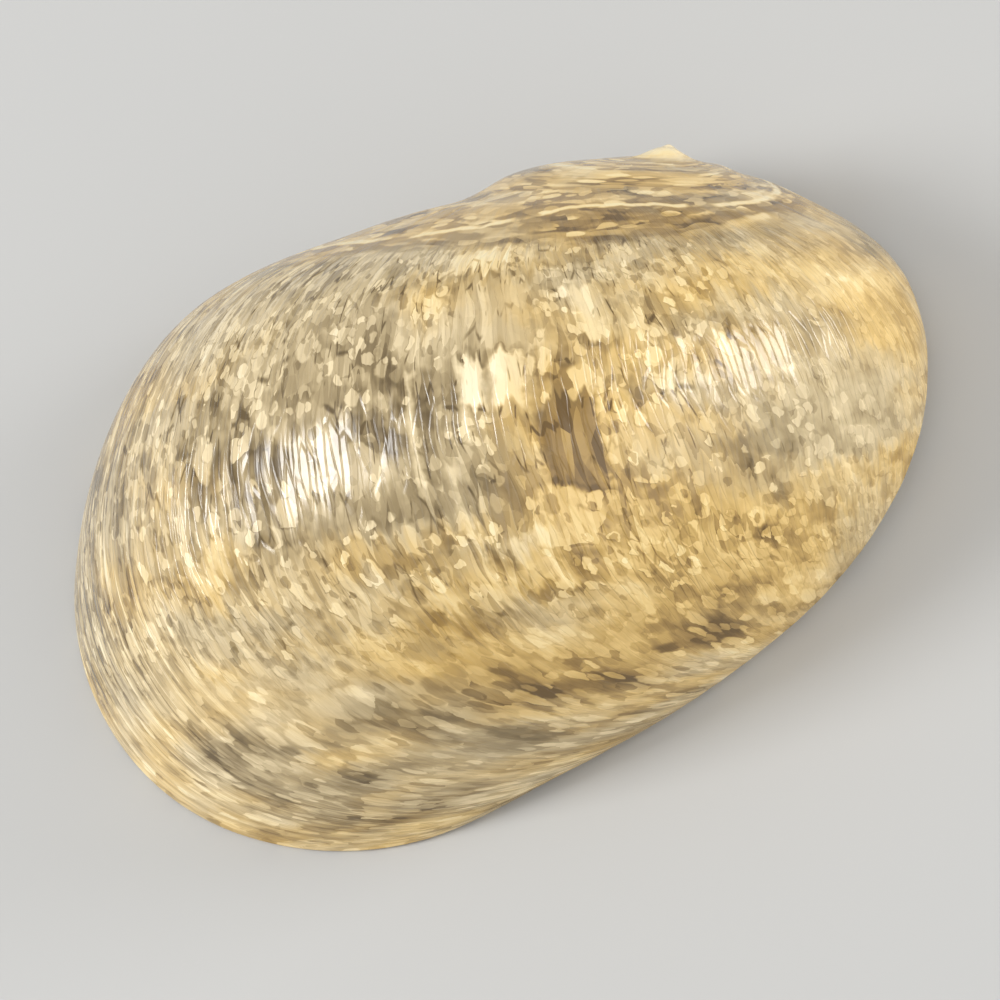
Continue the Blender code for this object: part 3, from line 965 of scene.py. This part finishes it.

# Single marks that stand out: cream tongues with thin tails, which are painted glints along the growth lines,
# tan and brown-grey blocks, and dark flecks.
# Each is listed with its middle and half size on the growth map in mm, its cover and its tone.
for mark_b, marks in (
    (comb_b, (
        (27.9, -6.9, 1.05, 1.7, 0.85, 0.50),
        (27.6, -10.0, 0.95, 0.75, 0.95, 0.90),
        (27.35, -3.9, 0.36, 0.95, 0.95, 0.90),
        (28.25, -3.7, 0.40, 1.05, 0.95, 0.92),
        # painted glints: thin near-white lines along the growth lines, where the gloss catches the light
        (27.1, -2.2, 0.05, 1.30, 0.9, 0.95),
        (28.4, -1.8, 0.05, 1.20, 0.9, 0.95),
        (25.6, -1.6, 0.07, 3.00, 0.8, 0.92),
        (26.4, 2.6, 0.09, 3.20, 0.6, 0.88),
        (29.5, -1.3, 0.75, 1.6, 0.9, 0.13),
        (28.2, -1.0, 0.45, 1.9, 0.60, 0.38),
        (30.7, -6.6, 0.45, 1.3, 0.80, 0.84),
        (27.8, 3.7, 0.60, 1.2, 0.60, 0.78),
        (25.0, 0.9, 1.50, 0.5, 0.60, 0.26),
    )),
    (map_b, (
        (28.9, 9.7, 0.30, 0.30, 0.90, 0.00),
        (24.4, 9.8, 0.60, 0.28, 0.45, 0.10),
        (32.3, -11.0, 0.50, 0.40, 0.70, 0.06),
        (29.6, -11.4, 0.30, 0.50, 0.70, 0.06),
    )),
):
    for middle_a, middle_b, half_a, half_b, share, mark_tone in marks:
        tone = over(tone, share * patch(map_a, mark_b, middle_a, middle_b, half_a, half_b), mark_tone)

# Fine growth lines: long thin strokes along the lip, and dark slits between some of them
STROKE = 0.45
LIP_STROKE = 0.65
stroke_draw, stroke_share, _ = draws(cells(line_a, line_b, 0.19, 2.2, 31.0))
tone = tone + STROKE * (stroke_draw - 0.5) * stroke_share * square(fine_share)
near_lip = plain_a.fade(20.0, 14.0) * plain_b.fade(-6.0, -1.0)
lip_draw, lip_share, _ = draws(cells(plain_a + 0.2 * bend_a, line_b, 0.15, 4.5, 113.0))
tone = tone + LIP_STROKE * near_lip * plain_b.fade(7.0, 13.0, 1.0, 0.45) * (lip_draw - 0.5) * lip_share
slit = cells(line_a, line_b, 0.34, 2.6, 37.0, feature="DISTANCE_TO_EDGE").fade(0.08, 0.01)
slit_share = square(fine_share) * plain_b.fade(-1.5, 2.0, 0.40, 0.20)
slit_gaps = clouds(plain_a, plain_b, 1.0, 1.0, 71.0).fade(0.53, 0.64)
tone = tone - slit_share * slit * slit_gaps

# Round the spire the marks are drawn out along the suture
SPIRE_COVER = 0.85
SPIRE_TONE = 0.42
STREAK = 3.0
SPIRE_DAB_COVER = 0.75
on_spire = plain_a.fade(54.0, 60.0)
round_spire = paint.math("MAXIMUM", plain_b.fade(-10.2, -12.0), on_spire)
spire_b = plain_b + 0.8 * bend_b
streak = clouds(map_a, map_b, 2.6, 1.0, 81.0, 2.0)
spire_streak = clouds(map_a, spire_b, 4.5, 1.1, 83.0, 3.0, 0.6)
streak = over(streak, on_spire, spire_streak + 0.03)
tone = over(tone, SPIRE_COVER * round_spire, SPIRE_TONE + ZONE_SHARE * light + STREAK * (streak - 0.5))
for length_a, length_b, seed, share, low, high in (
    (4.2, 1.50, 101.0, 0.60, 0.05, 0.80),
    (2.2, 0.90, 103.0, 0.65, 0.10, 0.90),
    (1.1, 0.52, 107.0, 0.50, 0.10, 0.95),
):
    long_dab, long_draw = dabs(map_a, spire_b, length_a, length_b, seed, share)
    tone = over(tone, SPIRE_DAB_COVER * long_dab * round_spire, low + (high - low) * long_draw)

# Shoulder: a broken cream line just under the spire, and beside it a band of painted shade, as in a groove
# below the suture
SHOULDER_FROM_MIDDLE = 12.6
SHOULDER_BOW = 1.6
SHOULDER_SHAKE = 0.7
SHADE_BAND_COVER = 0.7
CREAM_COVER = 0.85
SUTURE_SHADE_COVER = 0.45
SHADE_TONE = 0.16
CREAM_TONE = 0.93
shoulder = plain_b + SHOULDER_FROM_MIDDLE + SHOULDER_BOW * swell(plain_a, plain_b, 32.0, -13.0, 5.0, 6.0)
shoulder = shoulder + SHOULDER_SHAKE * drift(map_a, plain_b, 1.3, 9.0, 91.0, 2.0)
shoulder_shade_gaps = clouds(map_a, map_b, 1.6, 0.8, 93.0).fade(0.42, 0.55)
shoulder_shade = shoulder.fade(0.1, 0.3) * shoulder.fade(1.9, 0.9) * shoulder_shade_gaps
broken = clouds(map_a, plain_b, 1.8, 3.0, 95.0).fade(0.36, 0.50)
# painted shade: the dark band beside the cream line
tone = over(tone, SHADE_BAND_COVER * shoulder_shade, SHADE_TONE)
tone = over(tone, CREAM_COVER * broken * paint.math("ABSOLUTE", shoulder).fade(0.26, 0.08), CREAM_TONE)
# painted shade: a thin darker line along the levelled suture, as if its groove lay in shade
tone = over(tone, SUTURE_SHADE_COVER * attribute("suture_shade").fade(0.70, 0.95), SHADE_TONE)

# The knob is the colour of bare cream, and the spire is a little more golden than the back
KNOB_TONE = 0.95
SPIRE_HUE = 0.22
KNOB_GREYING = 0.4
on_knob = attribute("knob")
tone = over(tone, on_knob.fade(0.1, 0.95, 0.0, 0.85), KNOB_TONE)
hue = hue + SPIRE_HUE * round_spire - KNOB_GREYING * on_knob
greyish = paint.node("ShaderNodeValToRGB", {"stops": GREYISH}, {0: tone})
golden = paint.node("ShaderNodeValToRGB", {"stops": GOLDEN}, {0: tone})
outer_colour = mixed(paint, hue.fade(0.15, 0.95), greyish, golden)
tint = clouds(plain_a, plain_b, 3.0, 9.0, 121.0, 2.0).fade(0.36, 0.72, 0.0, 0.7)
inner_colour = mixed(paint, tint, PORCELAIN, TINTED_PORCELAIN)
bare = attribute("porcelain")
colour = mixed(paint, bare, outer_colour, inner_colour)

# Growth lines break the gloss into strokes: each is a narrow facet that leans a little its own way
FACET_WIDTH = 0.21
FACET_LENGTH = 2.4
FACET_SLOPE = 0.28
FACET_SEED = 41.0
GROOVE_DEPTH = 0.014
WAVE_DEPTH = 0.03
SPIRE_CALM = 0.8
PORCELAIN_CALM = 0.85
POLISH_ROUGHNESS = 0.17
SHELL_IOR = 1.6
facet_place = xyz(paint, line_a / FACET_WIDTH + FACET_SEED, line_b / FACET_LENGTH, 0.0)
facet = paint.node(
    "ShaderNodeTexVoronoi", {"voronoi_dimensions": "2D"}, {"Vector": facet_place, "Scale": 1.0}, "Distance"
)
facet_edge = paint.node(
    "ShaderNodeTexVoronoi",
    {"voronoi_dimensions": "2D", "feature": "DISTANCE_TO_EDGE"},
    {"Vector": facet_place, "Scale": 1.0},
    "Distance",
)
facet_draw, _, _ = draws(facet)
from_middle = paint.node(
    "ShaderNodeSeparateXYZ", None, {"Vector": facet_place.vector("SUBTRACT", facet.out("Position"))}
).out("X")
relief = FACET_WIDTH * FACET_SLOPE * from_middle * (facet_draw - 0.5)
relief = relief - GROOVE_DEPTH * facet_edge.fade(0.16, 0.0)
relief = relief * (1 - SPIRE_CALM * round_spire) * calm.fade(0.2, 1.0, 0.25)
relief = relief + WAVE_DEPTH * clouds(line_a, line_b, 0.5, 5.0, 51.0, 2.0)
relief = relief + WAVE_DEPTH * clouds(line_a, line_b, 1.1, 8.0, 61.0)
relief = relief * (1 - PORCELAIN_CALM * bare)
bumped = paint.node("ShaderNodeBump", None, {"Strength": 1.0, "Distance": MM, "Height": relief})
for name, wire in (("Base Color", colour), ("Normal", bumped)):
    polish.node_tree.links.new(wire.socket, surface.inputs[name])
surface.inputs["Roughness"].default_value = POLISH_ROUGHNESS
surface.inputs["IOR"].default_value = SHELL_IOR

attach(shell, "root")
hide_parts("shell")

# Floor: a plain pale sheet of matt paper or board that the shell lies on, mouth down.
# It is only there for the picture, and is no part of the shell.

FLOOR_HALF = 3.0
FLOOR_COLOUR = (0.52, 0.52, 0.51, 1.0)
FLOOR_ROUGHNESS = 0.8
floor_corners = [(x * FLOOR_HALF, y * FLOOR_HALF, 0.0) for x, y in ((-1, -1), (1, -1), (1, 1), (-1, 1))]
floor_mesh = bpy.data.meshes.new("floor")
floor_mesh.from_pydata(floor_corners, [], [(0, 1, 2, 3)])
floor = bpy.data.objects.new("floor", floor_mesh)
bpy.context.scene.collection.objects.link(floor)
floor_material = bpy.data.materials.new("pale_floor")
floor_material.use_nodes = True
floor_surface = floor_material.node_tree.nodes["Principled BSDF"]
floor_surface.inputs["Base Color"].default_value = FLOOR_COLOUR
floor_surface.inputs["Roughness"].default_value = FLOOR_ROUGHNESS
floor_mesh.materials.append(floor_material)

# Camera: it looks down on the shell from the photo's angle, and is rolled as the photo is.
# It stands far off with a long lens, because the photo's view is close to parallel.

ELEVATION = math.radians(54.9)
AZIMUTH = math.radians(41.78)
ROLL = math.radians(-35.53)
PIXELS_PER_METRE = 30970.0
IMAGE_SIDE = 1000
AIM_POINT = Vector((0.0, 0.0, 6.0)) * MM
AIM_PIXEL = (434.8, 427.5)
LENS = 500.0
SENSOR = 36.0
NEAREST_SEEN = 0.01
back = Vector((
    math.cos(ELEVATION) * math.sin(AZIMUTH),
    -math.cos(ELEVATION) * math.cos(AZIMUTH),
    math.sin(ELEVATION),
))
sideways = Vector((math.cos(AZIMUTH), math.sin(AZIMUTH), 0.0))
upright = back.cross(sideways)
right = math.cos(ROLL) * sideways + math.sin(ROLL) * upright
up = math.cos(ROLL) * upright - math.sin(ROLL) * sideways
aim_right = (IMAGE_SIDE / 2 - AIM_PIXEL[0]) / PIXELS_PER_METRE
aim_up = (AIM_PIXEL[1] - IMAGE_SIDE / 2) / PIXELS_PER_METRE
aim = AIM_POINT + right * aim_right + up * aim_up
distance = LENS / SENSOR * IMAGE_SIDE / PIXELS_PER_METRE
camera_data = bpy.data.cameras.new("camera")
camera_data.lens = LENS
camera_data.sensor_width = SENSOR
camera_data.clip_start = NEAREST_SEEN
camera = bpy.data.objects.new("camera", camera_data)
turn = Matrix((right, up, back)).transposed()
camera.matrix_world = Matrix.Translation(aim + back * distance) @ turn.to_4x4()
bpy.context.scene.collection.objects.link(camera)
bpy.context.scene.camera = camera

# Lights: two small soft boxes, to the left and to the right of the camera, which give the two bright patches
# on the gloss, and a large white panel near the camera. The room itself is bright and even.


def soft_box(name, direction, reach, side, power):
    """A square light that faces the shell from this direction, given in the camera's right, up and back."""
    light_data = bpy.data.lights.new(name, "AREA")
    light_data.shape = "SQUARE"
    light_data.size = side
    light_data.energy = power
    box = bpy.data.objects.new(name, light_data)
    away = (right * direction[0] + up * direction[1] + back * direction[2]).normalized()
    box.location = aim + away * reach
    box.rotation_mode = "QUATERNION"
    box.rotation_quaternion = away.to_track_quat("Z", "Y")
    bpy.context.scene.collection.objects.link(box)


soft_box("left_box", (-0.91, 0.07, 0.37), 0.30, 0.12, 0.56)
soft_box("right_box", (0.78, 0.42, 0.42), 0.30, 0.14, 0.45)
soft_box("front_panel", (0.45, -0.25, 0.86), 0.70, 0.70, 1.32)

HORIZON_COLOUR = (0.55, 0.52, 0.48, 1.0)
OVERHEAD_COLOUR = (1.0, 1.0, 1.0, 1.0)
OVERHEAD_FROM = 0.6
ROOM_BRIGHTNESS = 0.66
world = bpy.data.worlds.new("room")
world.use_nodes = True
room = Wire(world.node_tree)
room_heading = room.node("ShaderNodeTexCoord", None, None, "Generated")
heading_up = room.node("ShaderNodeSeparateXYZ", None, {"Vector": room_heading}).out("Z")
sky = mixed(room, heading_up.fade(0.0, OVERHEAD_FROM), HORIZON_COLOUR, OVERHEAD_COLOUR)
background = world.node_tree.nodes["Background"]
world.node_tree.links.new(sky.socket, background.inputs["Color"])
background.inputs["Strength"].default_value = ROOM_BRIGHTNESS
bpy.context.scene.world = world
bpy.context.scene.view_settings.view_transform = "Standard"
